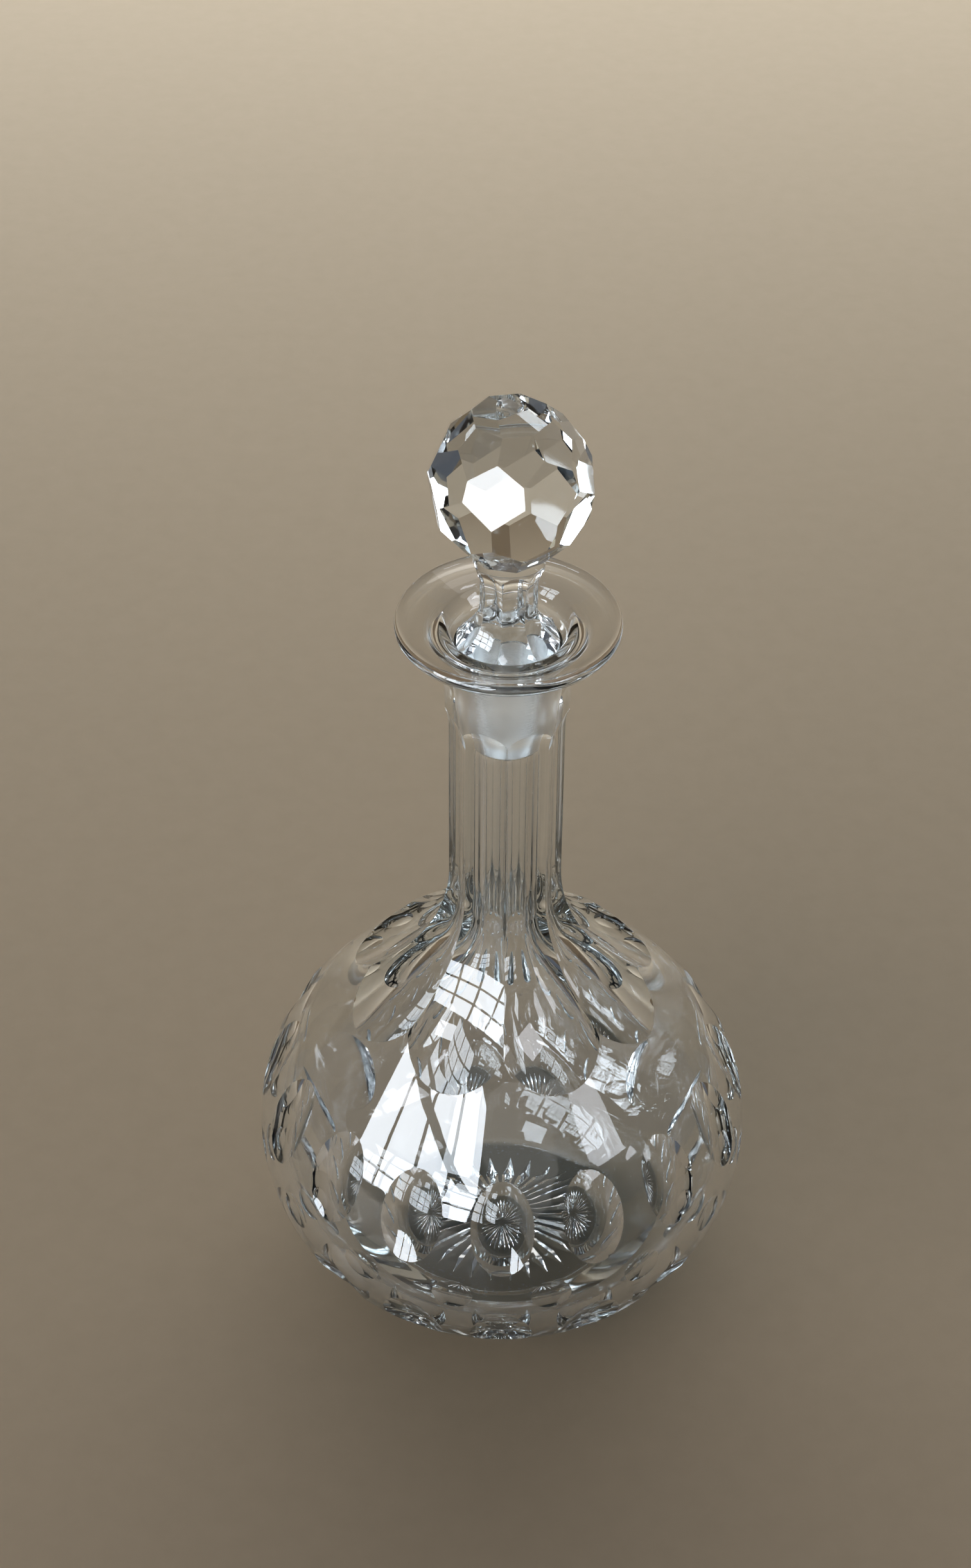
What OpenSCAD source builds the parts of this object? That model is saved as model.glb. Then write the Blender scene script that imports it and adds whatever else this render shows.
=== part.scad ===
// Cut-glass bottle with a globe body, a fluted neck and a ground-in faceted ball stopper.
// Millimetres, +Z up, origin at the centre of the foot.

/* [Globe] */
// Widest diameter of the globe
globe_d = 100; // [84:1:125]
// Height of the widest point above the foot
belly_h = 35; // [31:0.5:42]
// Radius of the globe's side, seen as an outline
side_r = 36; // [30:0.5:38]
// Latitude at which the rounded side gives way to the flatter shoulder
shoulder_lat = 37.5; // [34:0.5:40]
// Radius of the shoulder, seen as an outline
shoulder_r = 420; // [200:10:480]
// Latitude at which the shoulder turns up into the neck
neck_lat = 42.5; // [41:0.5:46]
// Height above the belly of the centre of the shallow outline that runs under the globe
under_rise = 14.7; // [12:0.1:18]
// Thickness of the globe's wall at the belly
wall = 5; // [3.5:0.25:7]
// Thickness of the glass at the middle of the base
base_t = 7.5; // [5:0.25:10]

/* [Neck] */
// Radius of the plain neck before the flutes are cut
neck_r = 10.95; // [9.5:0.05:12]
// Length of the neck from the end of its sweep to its top, where it opens under the lip
neck_l = 42.3; // [30:0.1:60]
// How far the neck has widened by then
neck_spread = 0.95; // [0.3:0.05:1.5]
// Radius of the blown bore below the ground seat
bore_r = 4.9; // [4.5:0.05:5.5]

/* [Lip] */
// Outer diameter of the collar
lip_d = 41.2; // [34:0.2:48]
// Thickness of the collar's rolled edge
lip_t = 2.6; // [2:0.1:3.4]
// Height of the collar's rolled edge above the top of the neck
lip_rise = 14.8; // [13:0.1:17]
// Radius of the ring where the collar turns down into the throat
throat_r = 12.8; // [12.4:0.1:14.5]
// How far the collar dips from its edge to the throat
lip_dish = 1.8; // [0.8:0.1:2.2]
// Radius of the curve under the collar
under_lip_r = 6.5; // [4:0.25:7]

/* [Ground joint] */
// Depth of the plug's top below the throat's ring
throat_depth = 7.5; // [6.8:0.1:9]
// Radius of the stopper's plug at its top
plug_r = 5.85; // [5.5:0.05:6.4]
// Length of the ground seat
seat_l = 18.6; // [14:0.2:22]
// Length over which the radius shrinks by one millimetre
taper = 15; // [10:1:25]
// Gap between the plug and the bore, measured on the radius
fit = 0.03; // [0.01:0.01:0.1]

/* [Stopper] */
// Distance from the ball's centre to its upper and middle facets
facet_r = 13.75; // [12:0.05:15.5]
// How much nearer than those the flat table on top is
table_drop = 0.85; // [0.4:0.05:2]
// How much further out the lowest row is, which draws the ball in to its stem
skirt = 0.85; // [0:0.05:1.5]
// Height of the ball's centre above the top of the plug
ball_rise = 39.15; // [36:0.05:46]
// Radius of the waist, at the arrises between its flutes
waist_r = 5.3; // [4.8:0.05:6.4]
// Radius of the collar where the stem meets the ball
collar_r = 6.5; // [5.8:0.1:7]
// Radius of the hollow across a flute of the stem
stem_hollow = 9; // [7:0.5:9.5]
// Radius of the flange above the plug
flange_r = 9.4; // [8.2:0.1:9.7]
// Height of the flange's edge above the top of the plug
flange_h = 3.4; // [3:0.1:4.2]

/* [Cutting] */
// Flutes round the neck, and ball facets in each row
flutes = 8; // [6:1:10]
// Least radius of the flutes' hollows on the neck
flute_floor = 9.7; // [9.2:0.05:10.2]
// Radius of the hollow across a flute
flute_hollow = 30; // [24:1:60]
// Radius of the wheel that sweeps a flute out over the shoulder
flute_sweep_r = 34.8; // [32:0.2:38]
// Distance below the end of the neck's own sweep where a flute's sweep begins
flute_drop = 2.7; // [2:0.1:6]
// Distance below the neck's top where the flutes begin to lift out
flute_run = 8.6; // [4:0.2:24]
// Ovals in each row round the globe
ovals = 16; // [12:1:18]
// Distance of the tall ovals' centres above and below the belly
oval_h = 15.4; // [14:0.2:17]
// Depth of the tall ovals
oval_depth = 2.1; // [1:0.1:2.4]
// Radius of the wheel that cuts the tall ovals
oval_wheel_r = 71; // [55:1:90]
// Radius of that wheel's rounded rim
oval_crown_r = 12.6; // [10:0.2:15]
// How far the rings of ovals are turned against the flutes, in degrees
oval_turn = 0; // [-5:0.5:5]
// Radius of the stone that cuts the small round prints at the belly
print_r = 17; // [12:0.5:24]
// Depth of the small round prints
print_depth = 0.7; // [0.3:0.1:1]
// Rays of the star under the base
rays = 32; // [16:4:40]
// Width of the plain foot left round the star
star_margin = 4; // [3:0.25:8]
// Depth of the rays at the rim of the star
star_depth = 1.2; // [0.6:0.1:1.6]

/* [Hidden] */
$fn = 96;
turn = 360 / flutes;
half_turn = turn / 2;

// Points along an arc, from angle a to angle b
function arc(centre, r, a, b, n) =
    [for (i = [0 : n]) let (t = a + (b - a) * i / n) centre + r * [cos(t), sin(t)]];

// --- Globe outline ---
side_c = [globe_d / 2 - side_r, belly_h];
// The under curve's centre is on the axis, and touches the side's circle
under_z = belly_h + under_rise;
under_r = side_r + norm([side_c.x, under_rise]);
under_a = atan2(belly_h - under_z, side_c.x);
foot_r = sqrt(pow(under_r, 2) - pow(under_z, 2));
shoulder_p = side_c + side_r * [cos(shoulder_lat), sin(shoulder_lat)];
shoulder_c = shoulder_p - shoulder_r * [cos(shoulder_lat), sin(shoulder_lat)];
neck_p = shoulder_c + shoulder_r * [cos(neck_lat), sin(neck_lat)];
// The neck's sweep meets the shoulder and the neck's straight side without a corner
neck_sweep_r = (neck_p.x - neck_r) / (1 - cos(neck_lat));
sweep_z = neck_p.y + neck_sweep_r * sin(neck_lat);
neck_top = sweep_z + neck_l;

// --- Lip ---
lip_r = lip_d / 2;
lip_z = neck_top + lip_rise;
edge_c = [lip_r - lip_t / 2, lip_z];
neck_mouth_r = neck_r + neck_spread;
throat_z = lip_z + lip_t / 2 - lip_dish;
roll_r = 2.5;
// The curve under the collar is kept inside the rolled edge
under_lip = min(under_lip_r, edge_c.x - neck_mouth_r - 0.5);

// --- Ground joint: the plug's top is where the seat starts ---
seat_top = throat_z - throat_depth;
seat_bottom = seat_top - seat_l;
plug_tip_r = plug_r - seat_l / taper;
throat_gap = 0.5;
seat_step = 1.5;

// --- Cavity ---
inner_side_r = side_r - wall - 1;
inner_c = [globe_d / 2 - wall - inner_side_r, belly_h - 0.5];
inner_lat = 45;
inner_low = -48;
inner_p = inner_c + inner_side_r * [cos(inner_lat), sin(inner_lat)];
inner_corner_z = inner_p.y + (inner_p.x - bore_r) / tan(inner_lat);
inner_sweep_r = 16;

// --- Cuts ---
flute_top = neck_top - flute_run;
flute_sweep_h = sweep_z - flute_drop;
flute_half_w = 16;
flute_lift_half_w = 6;
flute_lift_r = 10;
star_r = foot_r - star_margin;

// --- Stopper ---
ball_z = seat_top + ball_rise;
ball_shell_r = 1.2 * facet_r;
flange_z = seat_top + flange_h;
flange_edge = 1.6;
flange_round = 0.5;
stem_sweep_r = 9.5;
// The turned stem is a little stouter than its arrises, which the flutes leave sharp
stem_r = waist_r + 0.3;
stem_sweep_a = acos(1 - (flange_r - stem_r) / stem_sweep_r);
stem_sweep_z = flange_z + flange_edge + stem_sweep_r * sin(stem_sweep_a);
stem_half_w = waist_r * sin(half_turn);
stem_floor = waist_r * cos(half_turn) - stem_hollow + sqrt(pow(stem_hollow, 2) - pow(stem_half_w, 2));
stem_wheel_r = stem_hollow + 0.6;
stem_wheel_z = stem_sweep_z - 0.5;
stem_top = ball_z - 13;
stem_lift_z = stem_top - 9.5;
// Each row of facets: its latitude, whether it is turned half a step, and its distance
facet_rows = [
    [45, 1, facet_r], [22, 0, facet_r - 0.3], [-8, 1, facet_r], [-39, 0, facet_r + skirt]
];
facet_turn = -12.5;

module globe_outline() {
    polygon(concat(
        [[0, 0], [foot_r - 0.8, 0]],
        arc([0, under_z], under_r, -acos(foot_r / under_r) + 1, under_a, 8),
        arc(side_c, side_r, under_a, shoulder_lat, 18),
        arc([neck_r + neck_sweep_r, sweep_z], neck_sweep_r, 180 + neck_lat, 180, 8),
        [[neck_r, (sweep_z + neck_top) / 2]],
        lip_outline(),
        [[0, lip_z]]
    ));
}

// From the top of the neck round the rolled edge to the throat
function lip_outline() = concat(
    arc([neck_mouth_r + under_lip, lip_z - lip_t / 2 - under_lip], under_lip, 174, 95, 8),
    arc(edge_c, lip_t / 2, -90, 90, 10),
    [[throat_r, throat_z]]
);

// What is hollow inside, from the base up through the seat and out of the throat
module hollow_outline() {
    polygon(concat(
        [[0, base_t]],
        arc(inner_c, inner_side_r, inner_low, inner_lat, 18),
        arc([bore_r + inner_sweep_r, inner_corner_z + inner_sweep_r * tan(inner_lat / 2)],
            inner_sweep_r, 180 + inner_lat, 180, 6),
        [
            [bore_r, seat_bottom - seat_step],
            [plug_tip_r + fit, seat_bottom],
            [plug_r + fit, seat_top],
            [plug_r + throat_gap, seat_top + 0.2],
            [flange_r + throat_gap, flange_z + 0.1]
        ],
        arc([throat_r, throat_z - roll_r], roll_r, 180, 90, 6),
        [[lip_r, lip_z + lip_t], [0, lip_z + lip_t]]
    ));
}

// A grinding wheel on a level axle, with a rounded rim: it is cut off beyond half its width
module wheel(r, crown, half_w) {
    rotate([90, 0, 0])
        rotate_extrude()
            intersection() {
                translate([r - crown, 0]) circle(r = crown);
                translate([0, -half_w]) square([r, 2 * half_w]);
            }
}

// One flute: a long hollow down the neck, swept out over the shoulder, lifted out below the lip
module flute() {
    translate([flute_floor + flute_hollow, 0, flute_sweep_h])
        cylinder(r = flute_hollow, h = flute_top - flute_sweep_h);
    translate([flute_floor + flute_sweep_r, 0, flute_sweep_h])
        wheel(flute_sweep_r, flute_hollow, flute_half_w);
    translate([flute_floor + flute_lift_r, 0, flute_top])
        wheel(flute_lift_r, flute_hollow, flute_lift_half_w);
}

// A ring of wheel cuts on the globe, centred at a height above the belly
module oval_ring(h, wheel_r, crown, depth, shift) {
    z = belly_h + h;
    lat = asin((z - side_c.y) / side_r);
    at = side_c + side_r * [cos(lat), sin(lat)];
    for (i = [0 : ovals - 1])
        rotate([0, 0, (i + shift) * 360 / ovals - 90 + oval_turn])
            translate([at.x, 0, at.y])
                rotate([0, -lat, 0])
                    translate([wheel_r - depth, 0, 0])
                        wheel(wheel_r, crown, crown);
}

module star() {
    half_angle = 0.8 * 180 / rays;
    tilt = atan(star_depth / star_r);
    for (i = [0 : rays - 1])
        rotate([0, 0, i * 360 / rays])
            rotate([0, -tilt, 0])
                rotate([90, 0, 90])
                    linear_extrude(height = star_r)
                        polygon([[-star_r * tan(half_angle), -star_depth],
                                 [star_r * tan(half_angle), -star_depth], [0, 0]]);
}

module bottle() {
    color([0.86, 0.9, 0.92, 0.6])
        difference() {
            rotate_extrude() globe_outline();
            rotate_extrude() hollow_outline();
            for (i = [0 : flutes - 1])
                rotate([0, 0, (i + 0.5) * turn - 90]) flute();
            oval_ring(oval_h, oval_wheel_r, oval_crown_r, oval_depth, 0);
            oval_ring(-oval_h, oval_wheel_r, oval_crown_r, oval_depth, 0);
            oval_ring(0, print_r, print_r, print_depth, 0.5);
            star();
        }
}

// A ball cut to flat facets in staggered rows, with a flat table above and a flat seat on the stem
module faceted_ball() {
    difference() {
        sphere(r = ball_shell_r);
        for (row = facet_rows, i = [0 : flutes - 1])
            rotate([0, 0, (i + row[1] / 2) * turn + facet_turn - 90])
                rotate([0, 90 - row[0], 0]) facet_cut(row[2]);
        facet_cut(facet_r - table_drop);
        rotate([180, 0, 0]) facet_cut(ball_z - stem_top + 2);
    }
}

module facet_cut(distance) {
    side = 4 * facet_r;
    translate([-side / 2, -side / 2, distance]) cube(side);
}

// The waist, the flange and the short cone under it, turned in one piece
module stem_outline() {
    polygon(concat(
        [
            [0, seat_top],
            [plug_r, seat_top],
            [flange_r - flange_round, flange_z - flange_round],
            [flange_r, flange_z]
        ],
        arc([stem_r + stem_sweep_r, stem_sweep_z], stem_sweep_r, 180 + stem_sweep_a, 180, 7),
        [[stem_r, stem_lift_z], [collar_r, stem_lift_z + 4.5], [collar_r, stem_top], [0, stem_top]]
    ));
}

// A hollow flute: down the waist and out over the flange, lifted out under the ball
module stem_flute() {
    translate([stem_floor + stem_hollow, 0, stem_wheel_z])
        cylinder(r = stem_hollow, h = stem_lift_z - stem_wheel_z);
    translate([stem_floor + stem_wheel_r, 0, stem_wheel_z])
        wheel(stem_wheel_r, stem_hollow, flange_r / 2);
    translate([stem_floor + stem_wheel_r, 0, stem_lift_z])
        wheel(stem_wheel_r, stem_hollow, flange_r / 2);
}

module stopper() {
    color([0.9, 0.93, 0.95, 0.7])
        union() {
            translate([0, 0, seat_bottom])
                cylinder(r1 = plug_tip_r, r2 = plug_r, h = seat_l);
            difference() {
                rotate_extrude() stem_outline();
                for (i = [0 : flutes - 1])
                    rotate([0, 0, (i + 0.5) * turn + facet_turn - 90]) stem_flute();
            }
            translate([0, 0, ball_z]) faceted_ball();
        }
}

bottle();
stopper();
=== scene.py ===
"""Looks for the cut-glass bottle and its ground-in ball stopper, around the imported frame."""
import math
import bpy
from mathutils import Matrix, Vector


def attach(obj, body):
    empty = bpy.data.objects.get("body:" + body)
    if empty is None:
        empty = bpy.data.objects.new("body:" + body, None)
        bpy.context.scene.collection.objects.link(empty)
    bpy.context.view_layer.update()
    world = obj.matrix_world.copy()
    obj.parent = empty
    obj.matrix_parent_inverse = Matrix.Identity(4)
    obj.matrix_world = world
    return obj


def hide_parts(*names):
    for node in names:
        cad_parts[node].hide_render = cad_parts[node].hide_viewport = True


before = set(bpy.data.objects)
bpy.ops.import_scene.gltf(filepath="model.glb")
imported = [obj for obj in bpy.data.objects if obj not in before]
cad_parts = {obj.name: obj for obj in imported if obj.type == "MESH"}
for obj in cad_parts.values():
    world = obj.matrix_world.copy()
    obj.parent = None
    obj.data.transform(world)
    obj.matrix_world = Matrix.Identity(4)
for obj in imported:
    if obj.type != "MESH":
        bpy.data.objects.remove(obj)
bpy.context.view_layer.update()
for loaded in bpy.context.selected_objects:
    loaded.select_set(False)

MM = 0.001
# a turned piece's end is closed by a face this small, on its axis
POLE_R = 0.2 * MM
BOTTLE_STEPS = 256
STOPPER_STEPS = 128

# ---------------------------------------------------------------- sizes, in metres
GLOBE_R = 50 * MM
BELLY_Z = 35 * MM
SIDE_R = 36 * MM
SIDE_X = GLOBE_R - SIDE_R
SHOULDER_LAT = 37.5
SHOULDER_R = 420 * MM
NECK_LAT = 42.5
UNDER_Z = BELLY_Z + 14.7 * MM
UNDER_R = SIDE_R + math.hypot(SIDE_X, UNDER_Z - BELLY_Z)
UNDER_A = math.degrees(math.atan2(BELLY_Z - UNDER_Z, SIDE_X))
FOOT_R = math.sqrt(UNDER_R**2 - UNDER_Z**2)
FOOT_ROUND = 0.8 * MM
WALL = 5 * MM
BASE_T = 7.5 * MM
CAVITY_SIDE_R = SIDE_R - WALL - 1 * MM
CAVITY_LAT = 45
CAVITY_LOW = -48
CAVITY_SWEEP_R = 16 * MM

NECK_R = 10.95 * MM
NECK_TOP = 148 * MM
NECK_SPREAD = 0.95 * MM
BORE_R = 4.9 * MM

LIP_R = 20.6 * MM
LIP_T = 2.6 * MM
LIP_Z = NECK_TOP + 14.8 * MM
LIP_TOP = LIP_Z + LIP_T / 2
LIP_DISH = 1.8 * MM
UNDER_LIP_R = 6.5 * MM
THROAT_R = 12.8 * MM
THROAT_Z = LIP_TOP - LIP_DISH
THROAT_ROLL = 2.5 * MM

SEAT_TOP = THROAT_Z - 7.5 * MM
SEAT_L = 18.6 * MM
SEAT_BOTTOM = SEAT_TOP - SEAT_L
PLUG_R = 5.85 * MM
PLUG_TIP_R = PLUG_R - SEAT_L / 15
FIT = 0.03 * MM
THROAT_GAP = 0.5 * MM
SEAT_STEP = 1.5 * MM

FLUTES = 8
TURN = 360 / FLUTES
FLUTE_FLOOR = 9.7 * MM
FLUTE_HOLLOW = 30 * MM
FLUTE_SWEEP_R = 34.8 * MM
FLUTE_SWEEP_H = 103 * MM
FLUTE_TOP = NECK_TOP - 8.6 * MM
FLUTE_LIFT_R = 10 * MM
FLUTE_HALF_W = 14 * MM
LIFT_ANGLE = 45
SWEEP_ANGLE = 80

OVALS = 16
OVAL_H = 15.4 * MM
OVAL_DEPTH = 2.1 * MM
OVAL_WHEEL_R = 71 * MM
OVAL_CROWN_R = 12.6 * MM
OVAL_TURN = 0
PRINT_R = 17 * MM
PRINT_DEPTH = 0.7 * MM

RAYS = 32
STAR_R = FOOT_R - 4 * MM
STAR_DEPTH = 1.2 * MM

FACET_R = 13.75 * MM
TABLE_DROP = 0.85 * MM
SKIRT = 0.85 * MM
BALL_Z = SEAT_TOP + 39.15 * MM
WAIST_R = 5.3 * MM
COLLAR_R = 6.5 * MM
FLANGE_R = 9.4 * MM
FLANGE_Z = SEAT_TOP + 3.4 * MM
FLANGE_EDGE = 1.6 * MM
STEM_SWEEP_R = 9.5 * MM
STEM_R = WAIST_R + 0.3 * MM
STEM_SWEEP_A = math.degrees(math.acos(1 - (FLANGE_R - STEM_R) / STEM_SWEEP_R))
STEM_SWEEP_Z = FLANGE_Z + FLANGE_EDGE + STEM_SWEEP_R * math.sin(math.radians(STEM_SWEEP_A))
STEM_HOLLOW = 9 * MM
STEM_HALF_W = WAIST_R * math.sin(math.radians(TURN / 2))
STEM_FLOOR = (
    WAIST_R * math.cos(math.radians(TURN / 2)) - STEM_HOLLOW
    + math.sqrt(STEM_HOLLOW**2 - STEM_HALF_W**2)
)
STEM_WHEEL_R = STEM_HOLLOW + 0.6 * MM
STEM_WHEEL_Z = STEM_SWEEP_Z - 0.5 * MM
STEM_TOP = BALL_Z - 13 * MM
STEM_LIFT_Z = STEM_TOP - 9.5 * MM
FACET_ROWS = ((45, 1, 0), (22, 0, -0.3 * MM), (-8, 1, 0), (-39, 0, SKIRT))
FACET_TURN = -12.5

# shading stays smooth across edges flatter than this, in degrees
BOTTLE_SMOOTH = 13
STOPPER_SMOOTH = 12


# ---------------------------------------------------------------- modelling by operators
def arc(centre, radius, start, end, steps):
    """Points on an arc, as (r, z), between two angles in degrees."""
    angles = [math.radians(start + (end - start) * i / steps) for i in range(steps + 1)]
    return [(centre[0] + radius * math.cos(a), centre[1] + radius * math.sin(a)) for a in angles]


def run(start, end, steps):
    """Points on a straight line, leaving the start out."""
    return [
        tuple(s + (e - s) * (i + 1) / steps for s, e in zip(start, end, strict=True))
        for i in range(steps)
    ]


def deselect():
    """Leaves nothing selected, because an operator acts on all that is."""
    for thing in bpy.context.selected_objects:
        thing.select_set(False)


def finished(name):
    """Names the active object and puts its place into its mesh."""
    piece = bpy.context.object
    piece.name = piece.data.name = name
    bpy.ops.object.transform_apply(location=True, rotation=True, scale=True)
    deselect()
    return piece


def lathe(name, outline, segments):
    """Turns an outline of (r, z) points: a ring, drawn out ring by ring, with both ends closed."""
    deselect()
    first_r, first_z = outline[0]
    bpy.ops.mesh.primitive_circle_add(vertices=segments, radius=first_r, location=(0, 0, first_z))
    bpy.ops.object.transform_apply(location=True, rotation=True, scale=True)
    bpy.ops.object.mode_set(mode="EDIT")
    bpy.ops.mesh.select_all(action="SELECT")
    bpy.ops.mesh.edge_face_add()
    bpy.ops.mesh.select_mode(type="EDGE")
    for (r0, z0), (r1, z1) in zip(outline, outline[1:], strict=False):
        bpy.ops.mesh.extrude_edges_move(TRANSFORM_OT_translate={"value": (0, 0, z1 - z0)})
        bpy.ops.transform.resize(value=(r1 / r0, r1 / r0, 1), center_override=(0, 0, z1))
    bpy.ops.mesh.edge_face_add()
    bpy.ops.mesh.select_all(action="SELECT")
    bpy.ops.mesh.normals_make_consistent(inside=False)
    bpy.ops.object.mode_set(mode="OBJECT")
    return finished(name)


def cut(piece, cutter, operation="DIFFERENCE"):
    """Applies one boolean with a cutter, and throws the cutter away."""
    bpy.context.view_layer.objects.active = piece
    modifier = piece.modifiers.new("cut", "BOOLEAN")
    modifier.solver = "MANIFOLD"
    modifier.operation = operation
    modifier.object = cutter
    bpy.ops.object.modifier_apply(modifier=modifier.name)
    bpy.data.objects.remove(cutter)


def turned_copies(first, count, step, start=0):
    """Copies a piece round the axis, each with its own mesh, and joins them all."""
    deselect()
    copies = []
    for i in range(count):
        copy = first.copy()
        copy.data = first.data.copy()
        bpy.context.collection.objects.link(copy)
        copy.data.transform(Matrix.Rotation(math.radians(start + i * step), 4, "Z"))
        copies.append(copy)
    bpy.data.objects.remove(first)
    for copy in copies:
        copy.select_set(True)
    bpy.context.view_layer.objects.active = copies[0]
    if count > 1:
        bpy.ops.object.join()
    deselect()
    return copies[0]


# ---------------------------------------------------------------- the bottle's turned shape
def bottle_outline():
    """From the middle of the foot, up the outside, over the lip and down the inside to the base."""
    side = arc((SIDE_X, BELLY_Z), SIDE_R, UNDER_A, SHOULDER_LAT, 42)
    low, high = math.radians(SHOULDER_LAT), math.radians(NECK_LAT)
    centre = (side[-1][0] - SHOULDER_R * math.cos(low), side[-1][1] - SHOULDER_R * math.sin(low))
    shoulder = arc(centre, SHOULDER_R, SHOULDER_LAT, NECK_LAT, 14)
    sweep_r = (shoulder[-1][0] - NECK_R) / (1 - math.cos(high))
    sweep_z = shoulder[-1][1] + sweep_r * math.sin(high)
    sweep = arc((NECK_R + sweep_r, sweep_z), sweep_r, 180 + NECK_LAT, 180, 12)
    under_start = -math.degrees(math.acos(FOOT_R / UNDER_R)) + 1
    outside = [(POLE_R, 0), (10 * MM, 0), (FOOT_R - 2 * FOOT_ROUND, 0)]
    outside += arc((FOOT_R - FOOT_ROUND, FOOT_ROUND * 0.9), FOOT_ROUND * 0.9, -90, -45, 4)
    outside += arc((0, UNDER_Z), UNDER_R, under_start, UNDER_A, 9)
    outside += side[1:] + shoulder[1:] + sweep[1:]
    outside += run(sweep[-1], (NECK_R, (sweep_z + NECK_TOP) / 2), 5)
    collar = arc((NECK_R + NECK_SPREAD + UNDER_LIP_R, LIP_Z - LIP_T / 2 - UNDER_LIP_R),
                 UNDER_LIP_R, 174, 95, 16)
    outside += run(outside[-1], collar[0], 6) + collar[1:]
    edge = arc((LIP_R - LIP_T / 2, LIP_Z), LIP_T / 2, -90, 90, 24)
    roll = arc((THROAT_R, THROAT_Z - THROAT_ROLL), THROAT_ROLL, 90, 180, 12)
    outside += edge + run(edge[-1], roll[0], 6) + roll[1:]
    inside = [
        (FLANGE_R + THROAT_GAP, FLANGE_Z + 0.1 * MM),
        (PLUG_R + THROAT_GAP, SEAT_TOP + 0.2 * MM),
        (PLUG_R + FIT, SEAT_TOP),
    ]
    inside += run(inside[-1], (PLUG_TIP_R + FIT, SEAT_BOTTOM), 6)
    inside.append((BORE_R, SEAT_BOTTOM - SEAT_STEP))
    return outside + inside + cavity_outline(inside[-1])


def cavity_outline(bore_top):
    """The blown inside: down the bore, out under the shoulder and round to the base."""
    centre = (GLOBE_R - WALL - CAVITY_SIDE_R, BELLY_Z - 0.5 * MM)
    lat = math.radians(CAVITY_LAT)
    out_r = centre[0] + CAVITY_SIDE_R * math.cos(lat)
    out_z = centre[1] + CAVITY_SIDE_R * math.sin(lat)
    corner_z = out_z + (out_r - BORE_R) / math.tan(lat)
    sweep_z = corner_z + CAVITY_SWEEP_R * math.tan(lat / 2)
    sweep = arc((BORE_R + CAVITY_SWEEP_R, sweep_z), CAVITY_SWEEP_R, 180, 180 + CAVITY_LAT, 10)
    points = run(bore_top, sweep[0], 6) + sweep[1:]
    points += run(points[-1], (out_r, out_z), 8)
    side = arc(centre, CAVITY_SIDE_R, CAVITY_LAT, CAVITY_LOW, 40)
    points += side[1:]
    low_r, low_z = side[-1]
    # a shallow dish down to the middle of the base
    points += [(low_r * (1 - t), BASE_T + (low_z - BASE_T) * (1 - t) ** 2)
               for t in (0.08, 0.16, 0.25, 0.35, 0.46, 0.58, 0.7, 0.82, 0.92, 0.995)]
    return points


def ring_on(move):
    """Draws the selected ring on by one step: new edges, then the move that places them."""
    bpy.ops.mesh.extrude_edges_move(TRANSFORM_OT_translate={"value": (0, 0, 0)})
    move()


def swing(centre, angle):
    """A move that turns what is selected about a level axle, in degrees, downwards and out."""
    bpy.ops.transform.rotate(value=math.radians(angle), orient_axis="Y", center_override=centre)


def flute_cutter():
    """The stone's whole path for one flute: off the neck, down it, and out over the shoulder."""
    steps = 28
    ys = [FLUTE_HALF_W * (2 * i / steps - 1) for i in range(steps + 1)]
    section = [(FLUTE_FLOOR + FLUTE_HOLLOW - math.sqrt(FLUTE_HOLLOW**2 - y**2), y) for y in ys]
    back = FLUTE_FLOOR + 9 * MM
    section += [(back, FLUTE_HALF_W), (back, -FLUTE_HALF_W)]
    deselect()
    bpy.ops.mesh.primitive_circle_add(vertices=len(section), radius=BORE_R)
    piece = bpy.context.object
    for v, (x, y) in zip(piece.data.vertices, section, strict=True):
        v.co = (x, y, FLUTE_TOP)
    lift = (FLUTE_FLOOR + FLUTE_LIFT_R, 0, FLUTE_TOP)
    wheel = (FLUTE_FLOOR + FLUTE_SWEEP_R, 0, FLUTE_SWEEP_H)
    bpy.ops.object.mode_set(mode="EDIT")
    bpy.ops.mesh.select_all(action="SELECT")
    swing(lift, -LIFT_ANGLE)
    bpy.ops.mesh.edge_face_add()
    for _ in range(14):
        ring_on(lambda: swing(lift, LIFT_ANGLE / 14))
    for _ in range(8):
        ring_on(lambda: bpy.ops.transform.translate(value=(0, 0, (FLUTE_SWEEP_H - FLUTE_TOP) / 8)))
    for _ in range(32):
        ring_on(lambda: swing(wheel, SWEEP_ANGLE / 32))
    bpy.ops.mesh.edge_face_add()
    bpy.ops.mesh.select_all(action="SELECT")
    bpy.ops.mesh.normals_make_consistent(inside=False)
    bpy.ops.object.mode_set(mode="OBJECT")
    return finished("flute_cutter")


def stone(height, wheel_r, crown_r, depth, bulge, segments, rings):
    """A rounded stone pressed into the globe at a height above the belly, on the +X side.

    Its two curvatures at the touching point are the wheel's and its rim's.
    """
    lat = math.asin(height / SIDE_R)
    at = Vector((SIDE_X + SIDE_R * math.cos(lat), 0, BELLY_Z + height))
    deselect()
    bpy.ops.mesh.primitive_uv_sphere_add(segments=segments, ring_count=rings, radius=1)
    piece = bpy.context.object
    size = (bulge, math.sqrt(crown_r * bulge), math.sqrt(wheel_r * bulge))
    piece.data.transform(Matrix.Rotation(math.pi / 2, 4, "Y"))
    piece.data.transform(Matrix.Diagonal((*size, 1)))
    piece.data.transform(Matrix.Translation((bulge - depth, 0, 0)))
    piece.data.transform(Matrix.Translation(at) @ Matrix.Rotation(-lat, 4, "Y"))
    return finished("stone")


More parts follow.
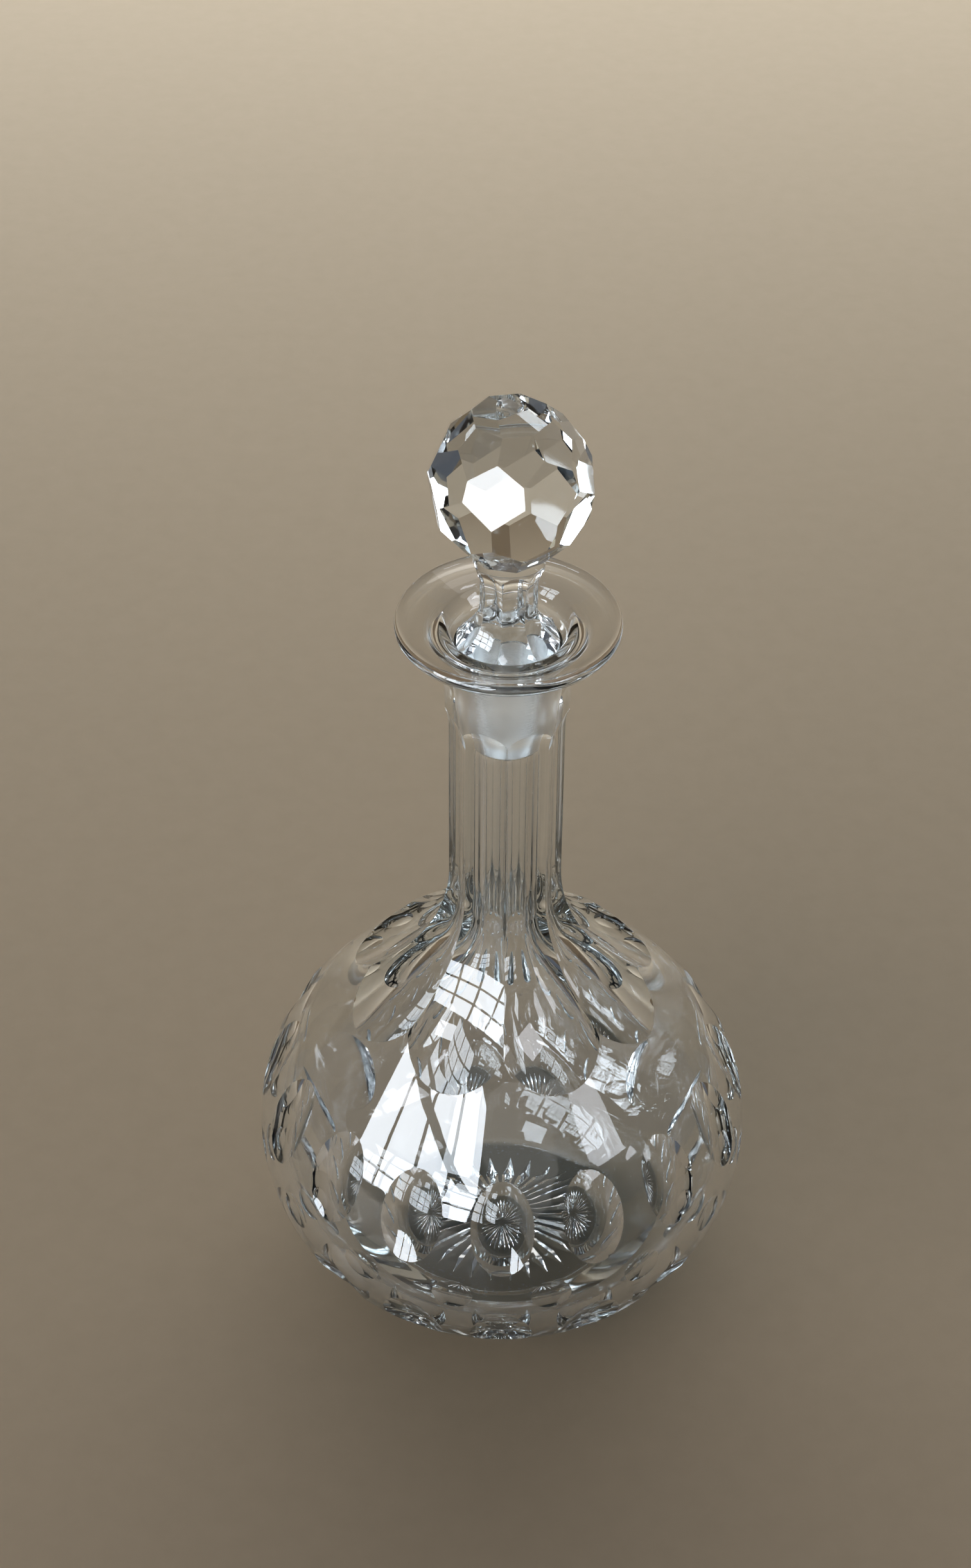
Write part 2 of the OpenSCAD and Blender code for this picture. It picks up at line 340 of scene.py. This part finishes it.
def ray_cutter():
    """One mitred ray of the star: a slim four-sided point at each end, deepest near its outer end."""
    inner, deep, outer = 2.5 * MM, 0.76 * STAR_R, STAR_R
    half_w = 0.86 * math.pi * deep / RAYS
    deselect()
    bpy.ops.mesh.primitive_uv_sphere_add(segments=4, ring_count=2, radius=1)
    piece = bpy.context.object
    for v in piece.data.vertices:
        x, y, z = v.co
        if abs(z) > 0.5:
            v.co = (outer if z > 0 else inner, 0, 0)
        else:
            v.co = (deep, half_w * y, STAR_DEPTH * x)
    bpy.ops.object.mode_set(mode="EDIT")
    bpy.ops.mesh.select_all(action="SELECT")
    bpy.ops.mesh.normals_make_consistent(inside=False)
    bpy.ops.object.mode_set(mode="OBJECT")
    return finished("ray_cutter")


def soften(piece, angle):
    """Smooth shading up to an angle, with the broad faces ruling the normals."""
    deselect()
    piece.select_set(True)
    bpy.context.view_layer.objects.active = piece
    bpy.ops.object.shade_smooth_by_angle(angle=math.radians(angle))
    modifier = piece.modifiers.new("normals", "WEIGHTED_NORMAL")
    modifier.mode = "FACE_AREA_WITH_ANGLE"
    modifier.keep_sharp = True
    bpy.ops.object.modifier_apply(modifier=modifier.name)
    deselect()


def make_bottle():
    piece = lathe("bottle_glass", bottle_outline(), BOTTLE_STEPS)
    for i in range(FLUTES):
        cut(piece, turned_copies(flute_cutter(), 1, 0, (i + 0.5) * TURN - 90))
    pitch = 360 / OVALS
    for side in (1, -1):
        tall = stone(side * OVAL_H, OVAL_WHEEL_R, OVAL_CROWN_R, OVAL_DEPTH, 8 * MM, 64, 48)
        cut(piece, turned_copies(tall, OVALS, pitch, OVAL_TURN - 90))
    print_stone = stone(0, PRINT_R, PRINT_R, PRINT_DEPTH, 3 * MM, 48, 40)
    cut(piece, turned_copies(print_stone, OVALS, pitch, pitch / 2 + OVAL_TURN - 90))
    cut(piece, turned_copies(ray_cutter(), RAYS, 360 / RAYS, 360 / RAYS / 2))
    soften(piece, BOTTLE_SMOOTH)
    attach(piece, "bottle")
    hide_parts("bottle")
    return piece


# ---------------------------------------------------------------- the stopper
def stopper_outline():
    """From the plug's tip up its ground side, round the flange and up the waist."""
    points = [(POLE_R, SEAT_BOTTOM), (PLUG_TIP_R - 0.35 * MM, SEAT_BOTTOM),
              (PLUG_TIP_R, SEAT_BOTTOM + 0.3 * MM)]
    points += run(points[-1], (PLUG_R, SEAT_TOP), 8)
    points += [(FLANGE_R - 0.5 * MM, FLANGE_Z - 0.5 * MM), (FLANGE_R - 0.12 * MM, FLANGE_Z - 0.25 * MM),
               (FLANGE_R, FLANGE_Z + 0.1 * MM)]
    sweep = arc((STEM_R + STEM_SWEEP_R, STEM_SWEEP_Z), STEM_SWEEP_R, 180 + STEM_SWEEP_A, 180, 16)
    points += sweep + run(sweep[-1], (STEM_R, STEM_LIFT_Z), 3)
    points += run(points[-1], (COLLAR_R, STEM_LIFT_Z + 4.5 * MM), 6)
    return points + [(COLLAR_R, STEM_TOP), (POLE_R, STEM_TOP)]


def stem_flute_cutter():
    """A stone's path: lifted out under the ball, down the waist and out over the flange."""
    steps = 16
    half_w = FLANGE_R / 2
    ys = [half_w * (2 * i / steps - 1) for i in range(steps + 1)]
    section = [(STEM_FLOOR + STEM_HOLLOW - math.sqrt(STEM_HOLLOW**2 - y**2), y) for y in ys]
    back = STEM_FLOOR + 6.5 * MM
    section += [(back, half_w), (back, -half_w)]
    deselect()
    bpy.ops.mesh.primitive_circle_add(vertices=len(section), radius=WAIST_R)
    piece = bpy.context.object
    for v, (x, y) in zip(piece.data.vertices, section, strict=True):
        v.co = (x, y, STEM_LIFT_Z)
    lift = (STEM_FLOOR + STEM_WHEEL_R, 0, STEM_LIFT_Z)
    wheel = (STEM_FLOOR + STEM_WHEEL_R, 0, STEM_WHEEL_Z)
    bpy.ops.object.mode_set(mode="EDIT")
    bpy.ops.mesh.select_all(action="SELECT")
    swing(lift, -60)
    bpy.ops.mesh.edge_face_add()
    for _ in range(15):
        ring_on(lambda: swing(lift, 4))
    for _ in range(3):
        ring_on(lambda: bpy.ops.transform.translate(value=(0, 0, (STEM_WHEEL_Z - STEM_LIFT_Z) / 3)))
    for _ in range(20):
        ring_on(lambda: swing(wheel, 4))
    bpy.ops.mesh.edge_face_add()
    bpy.ops.mesh.select_all(action="SELECT")
    bpy.ops.mesh.normals_make_consistent(inside=False)
    bpy.ops.object.mode_set(mode="OBJECT")
    return finished("stem_flute_cutter")


def faceted_ball():
    """A ball with every facet ground flat: one plane cut for each."""
    deselect()
    bpy.ops.mesh.primitive_uv_sphere_add(segments=32, ring_count=16, radius=1.3 * FACET_R,
                                         location=(0, 0, BALL_Z))
    bpy.ops.object.transform_apply(location=True, rotation=True, scale=True)
    bpy.ops.object.mode_set(mode="EDIT")
    planes = [(90, 0, FACET_R - TABLE_DROP), (-90, 0, BALL_Z - STEM_TOP + 2 * MM)]
    planes += [(lat, (i + shift / 2) * TURN + FACET_TURN - 90, FACET_R + out)
               for lat, shift, out in FACET_ROWS for i in range(FLUTES)]
    for lat, azimuth, distance in planes:
        la, az = math.radians(lat), math.radians(azimuth)
        normal = Vector((math.cos(la) * math.cos(az), math.cos(la) * math.sin(az), math.sin(la)))
        bpy.ops.mesh.select_all(action="SELECT")
        bpy.ops.mesh.bisect(plane_co=Vector((0, 0, BALL_Z)) + normal * distance, plane_no=normal,
                            use_fill=True, clear_outer=True)
    bpy.ops.mesh.select_all(action="SELECT")
    bpy.ops.mesh.dissolve_limited(angle_limit=math.radians(1))
    bpy.ops.mesh.normals_make_consistent(inside=False)
    bpy.ops.object.mode_set(mode="OBJECT")
    return finished("ball")


def make_stopper():
    piece = lathe("stopper_glass", stopper_outline(), STOPPER_STEPS)
    for i in range(FLUTES):
        cut(piece, turned_copies(stem_flute_cutter(), 1, 0, (i + 0.5) * TURN + FACET_TURN - 90))
    cut(piece, faceted_ball(), "UNION")
    soften(piece, STOPPER_SMOOTH)
    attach(piece, "stopper")
    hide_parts("stopper")
    return piece


# ---------------------------------------------------------------- shader maths
class Socket:
    """A shader value that adds its own Math nodes when it is used in an expression."""

    def __init__(self, tree, socket):
        self.tree, self.socket = tree, socket

    def maths(self, operation, *values):
        return make(self.tree, "ShaderNodeMath", {"operation": operation}, *values)

    def __add__(self, other):
        return self.maths("ADD", self, other)

    def __radd__(self, other):
        return self.maths("ADD", other, self)

    def __sub__(self, other):
        return self.maths("SUBTRACT", self, other)

    def __rsub__(self, other):
        return self.maths("SUBTRACT", other, self)

    def __mul__(self, other):
        return self.maths("MULTIPLY", self, other)

    def __rmul__(self, other):
        return self.maths("MULTIPLY", other, self)

    def __gt__(self, other):
        return self.maths("GREATER_THAN", self, other)


def make(tree, kind, settings, *values, output=0, **named):
    """Adds a node: settings first, then its sockets' values or links, in order or by name."""
    node = tree.nodes.new(kind)
    for key, value in settings.items():
        setattr(node, key, value)
    sockets = list(zip(node.inputs, values, strict=False))
    sockets += [(node.inputs[key.replace("_", " ")], value) for key, value in named.items()]
    for socket, value in sockets:
        if isinstance(value, Socket):
            tree.links.new(value.socket, socket)
        elif value is not None:
            socket.default_value = value
    return Socket(tree, node.outputs[output] if node.outputs else None)


def noise(tree, where, scale, detail=2.0, rough=0.5):
    return make(tree, "ShaderNodeTexNoise", {}, Vector=where, Scale=scale, Detail=detail, Roughness=rough)


def fade(tree, value, start, end):
    """0 below start and 1 above end, smoothly."""
    return make(tree, "ShaderNodeMapRange", {"interpolation_type": "SMOOTHSTEP"},
                value, start, end, 0.0, 1.0)


def new_material(name):
    material = bpy.data.materials.new(name)
    material.use_nodes = True
    tree = material.node_tree
    tree.nodes.clear()
    return material, tree


def crystal(name, ground_low, ground_high, ground_r, rest_z=None):
    """Clear cut lead glass: polished outside, ground matt where the plug seats, dusty and hand-worn."""
    material, tree = new_material(name)
    place = make(tree, "ShaderNodeTexCoord", {}, output=3)
    x, y, z = (make(tree, "ShaderNodeSeparateXYZ", {}, place, output=i) for i in range(3))
    radius = (x * x + y * y).maths("SQRT", x * x + y * y)

    ground = fade(tree, z, ground_low - 0.3 * MM, ground_low + 0.3 * MM)
    ground = ground * (1 - fade(tree, z, ground_high - 0.2 * MM, ground_high + 0.2 * MM))
    ground = ground * (1 - fade(tree, radius, ground_r, ground_r + 0.2 * MM))

    smear = fade(tree, noise(tree, place, 55, 3.0, 0.6), 0.5, 0.8)
    film = fade(tree, noise(tree, place, 18, 2.0, 0.5), 0.35, 0.85)
    roughness = 0.012 + smear * 0.03 + film * 0.02 + ground * 0.28
    if rest_z is not None:
        rest = (1 - fade(tree, z, rest_z, rest_z + 0.5 * MM)) * fade(tree, radius, STAR_R, STAR_R + 1 * MM)
        scratch = fade(tree, noise(tree, place, 900, 4.0, 0.7), 0.4, 0.7)
        roughness = roughness + rest * scratch * 0.35

    wave = noise(tree, place, 75, 1.0, 0.4)
    rings = make(tree, "ShaderNodeTexNoise", {}, Vector=make(
        tree, "ShaderNodeVectorMath", {"operation": "MULTIPLY"}, place, (300, 300, 9000)),
        Scale=1.0, Detail=3.0, Roughness=0.7)
    bump = make(tree, "ShaderNodeBump", {}, Strength=0.5, Distance=0.06 * MM, Height=wave)
    bump = make(tree, "ShaderNodeBump", {}, Strength=ground * 0.6, Distance=0.03 * MM, Height=rings,
                Normal=bump)

    glass = make(tree, "ShaderNodeBsdfPrincipled", {}, Base_Color=(0.985, 0.995, 1.0, 1), IOR=1.545,
                 Transmission_Weight=1.0, Roughness=roughness, Normal=bump)

    specks = noise(tree, place, 1500, 1.0, 0.5) > 0.83
    dust = make(tree, "ShaderNodeBsdfDiffuse", {}, Color=(0.8, 0.8, 0.78, 1))
    dusty = make(tree, "ShaderNodeMixShader", {}, specks * 0.5, glass, dust)

    shadow = make(tree, "ShaderNodeLightPath", {}, output=1)
    clear = make(tree, "ShaderNodeBsdfTransparent", {}, Color=(0.64, 0.67, 0.68, 1))
    surface = make(tree, "ShaderNodeMixShader", {}, shadow, dusty, clear)
    tint = make(tree, "ShaderNodeVolumeAbsorption", {}, Color=(0.72, 0.84, 0.86, 1), Density=6.0)
    make(tree, "ShaderNodeOutputMaterial", {}, Surface=surface, Volume=tint)
    return material


def dress(piece, material):
    piece.data.materials.clear()
    piece.data.materials.append(material)


# ---------------------------------------------------------------- the studio
FLOOR_COLOUR = (0.54, 0.385, 0.225, 1)
FLOOR_DARKER = (0.49, 0.35, 0.2, 1)
DAYLIGHT = (0.85, 0.92, 1.0)
WINDOW_TURN = -43
WINDOW_RISE = 21
WINDOW_AWAY = 1.7
PANE_SIZE = (0.42, 0.28)
PANE_PITCH = (0.47, 0.32)
CAMERA_PLACE = (-3.9 * MM, -413.5 * MM, 443.5 * MM + BELLY_Z)
CAMERA_TILT = 90 - 40.57
CAMERA_LEAN = 0.42


def make_floor():
    """A plain pale floor that sweeps up behind the bottle."""
    deselect()
    bpy.ops.mesh.primitive_plane_add(size=1, location=(0, 0, 0))
    floor = bpy.context.object
    floor.scale = (4.4, 2.2, 1)
    floor.location = (0, -0.2, 0)
    bpy.ops.object.transform_apply(location=True, rotation=True, scale=True)
    floor.name = floor.data.name = "floor"
    for edge in floor.data.edges:
        edge.select = all(floor.data.vertices[v].co.y > 0 for v in edge.vertices)
    for corner in floor.data.vertices:
        corner.select = corner.co.y > 0
    for face in floor.data.polygons:
        face.select = False
    bpy.ops.object.mode_set(mode="EDIT")
    bpy.ops.mesh.select_mode(type="EDGE")
    curve = arc((0.9, 0.7), 0.7, -90, 0, 16) + [(1.6, 1.9)]
    for (y0, z0), (y1, z1) in zip(curve, curve[1:], strict=False):
        bpy.ops.mesh.extrude_edges_move(TRANSFORM_OT_translate={"value": (0, y1 - y0, z1 - z0)})
    bpy.ops.object.mode_set(mode="OBJECT")
    bpy.ops.object.shade_smooth()
    deselect()
    material, tree = new_material("floor paper")
    place = make(tree, "ShaderNodeTexCoord", {}, output=3)
    grain = noise(tree, place, 160, 3.0, 0.6)
    colour = make(tree, "ShaderNodeMix", {"data_type": "RGBA"}, grain, None, None, None, None, None,
                  FLOOR_COLOUR, FLOOR_DARKER, output=2)
    paper = make(tree, "ShaderNodeBsdfPrincipled", {}, Base_Color=colour, Roughness=0.7)
    make(tree, "ShaderNodeOutputMaterial", {}, Surface=paper)
    dress(floor, material)


def soft_light(name, place, aim, size, radiance, colour):
    """A soft panel facing a point, with a brightness that doesn't change with its size."""
    light = bpy.data.lights.new(name, "AREA")
    light.shape = "RECTANGLE"
    light.size, light.size_y = size
    light.energy = radiance * math.pi * size[0] * size[1]
    light.color = colour
    lamp = bpy.data.objects.new(name, light)
    bpy.context.collection.objects.link(lamp)
    lamp.location = place
    lamp.rotation_euler = (Vector(aim) - Vector(place)).to_track_quat("-Z", "Y").to_euler()
    return lamp


def only_in_glass(lamp):
    """The panel shows in the glass, and another one lights the floor."""
    lamp.visible_diffuse = False


def only_on_floor(lamp):
    """The panel lights the floor and doesn't show in the glass."""
    lamp.visible_glossy = lamp.visible_transmission = False


def make_lights():
    """A window of panes at the front left, and soft panels high up, overhead, right and behind."""
    aim = Vector((0, 0, 0.08))
    turn, rise = math.radians(WINDOW_TURN), math.radians(WINDOW_RISE)
    toward = Vector((math.sin(turn) * math.cos(rise), -math.cos(turn) * math.cos(rise), math.sin(rise)))
    middle = aim + WINDOW_AWAY * toward
    facing = (aim - middle).to_track_quat("-Z", "Y")
    for column in (-1.5, -0.5, 0.5, 1.5):
        for row in (-1, 0, 1):
            offset = facing @ Vector((column * PANE_PITCH[0], row * PANE_PITCH[1], 0))
            only_in_glass(soft_light("window pane", middle + offset, aim + offset, PANE_SIZE, 17,
                                     DAYLIGHT))
    only_in_glass(soft_light("high pane", (-0.56, -1.06, 1.39), (0, 0, 0.19), (0.4, 0.3), 14,
                             DAYLIGHT))
    only_in_glass(soft_light("right panel", (1.2, -0.62, 1.25), (0, 0, 0.19), (0.5, 0.5), 7,
                             (0.9, 0.93, 1.0)))
    only_in_glass(soft_light("overhead panel", (0.5, 0.5, 2.0), (0, 0, 0.1), (1.6, 1.0), 1.1,
                             (1.0, 0.94, 0.88)))
    only_on_floor(soft_light("window glow", middle, aim, (2.0, 1.0), 3.4, (1.0, 0.94, 0.84)))
    only_on_floor(soft_light("back panel", (0, 0.9, 0.45), (0, 0.5, 0), (1.8, 0.3), 8,
                             (0.62, 0.76, 1.0)))
    world = bpy.data.worlds.new("room")
    bpy.context.scene.world = world
    world.use_nodes = True
    background = world.node_tree.nodes["Background"]
    background.inputs["Color"].default_value = (0.2, 0.225, 0.27, 1)
    background.inputs["Strength"].default_value = 0.4


def make_camera():
    camera = bpy.data.cameras.new("camera")
    camera.sensor_width = 36
    camera.lens = 66.34
    holder = bpy.data.objects.new("camera", camera)
    bpy.context.collection.objects.link(holder)
    tilt, lean = math.radians(CAMERA_TILT), math.radians(CAMERA_LEAN)
    holder.matrix_world = (
        Matrix.Translation(CAMERA_PLACE)
        @ Matrix.Rotation(tilt, 4, "X") @ Matrix.Rotation(lean, 4, "Z")
    )
    bpy.context.scene.camera = holder


make_camera()
bottle = make_bottle()
stopper = make_stopper()
dress(bottle, crystal("bottle crystal", SEAT_BOTTOM, SEAT_TOP, PLUG_R + 0.5 * MM, rest_z=0.2 * MM))
dress(stopper, crystal("stopper crystal", SEAT_BOTTOM, SEAT_TOP, PLUG_R + 0.5 * MM))
make_floor()
make_lights()
scene = bpy.context.scene
scene.view_settings.view_transform = "Standard"
scene.cycles.max_bounces = scene.cycles.transmission_bounces = 28
scene.cycles.glossy_bounces = 8
scene.cycles.caustics_refractive = scene.cycles.caustics_reflective = False
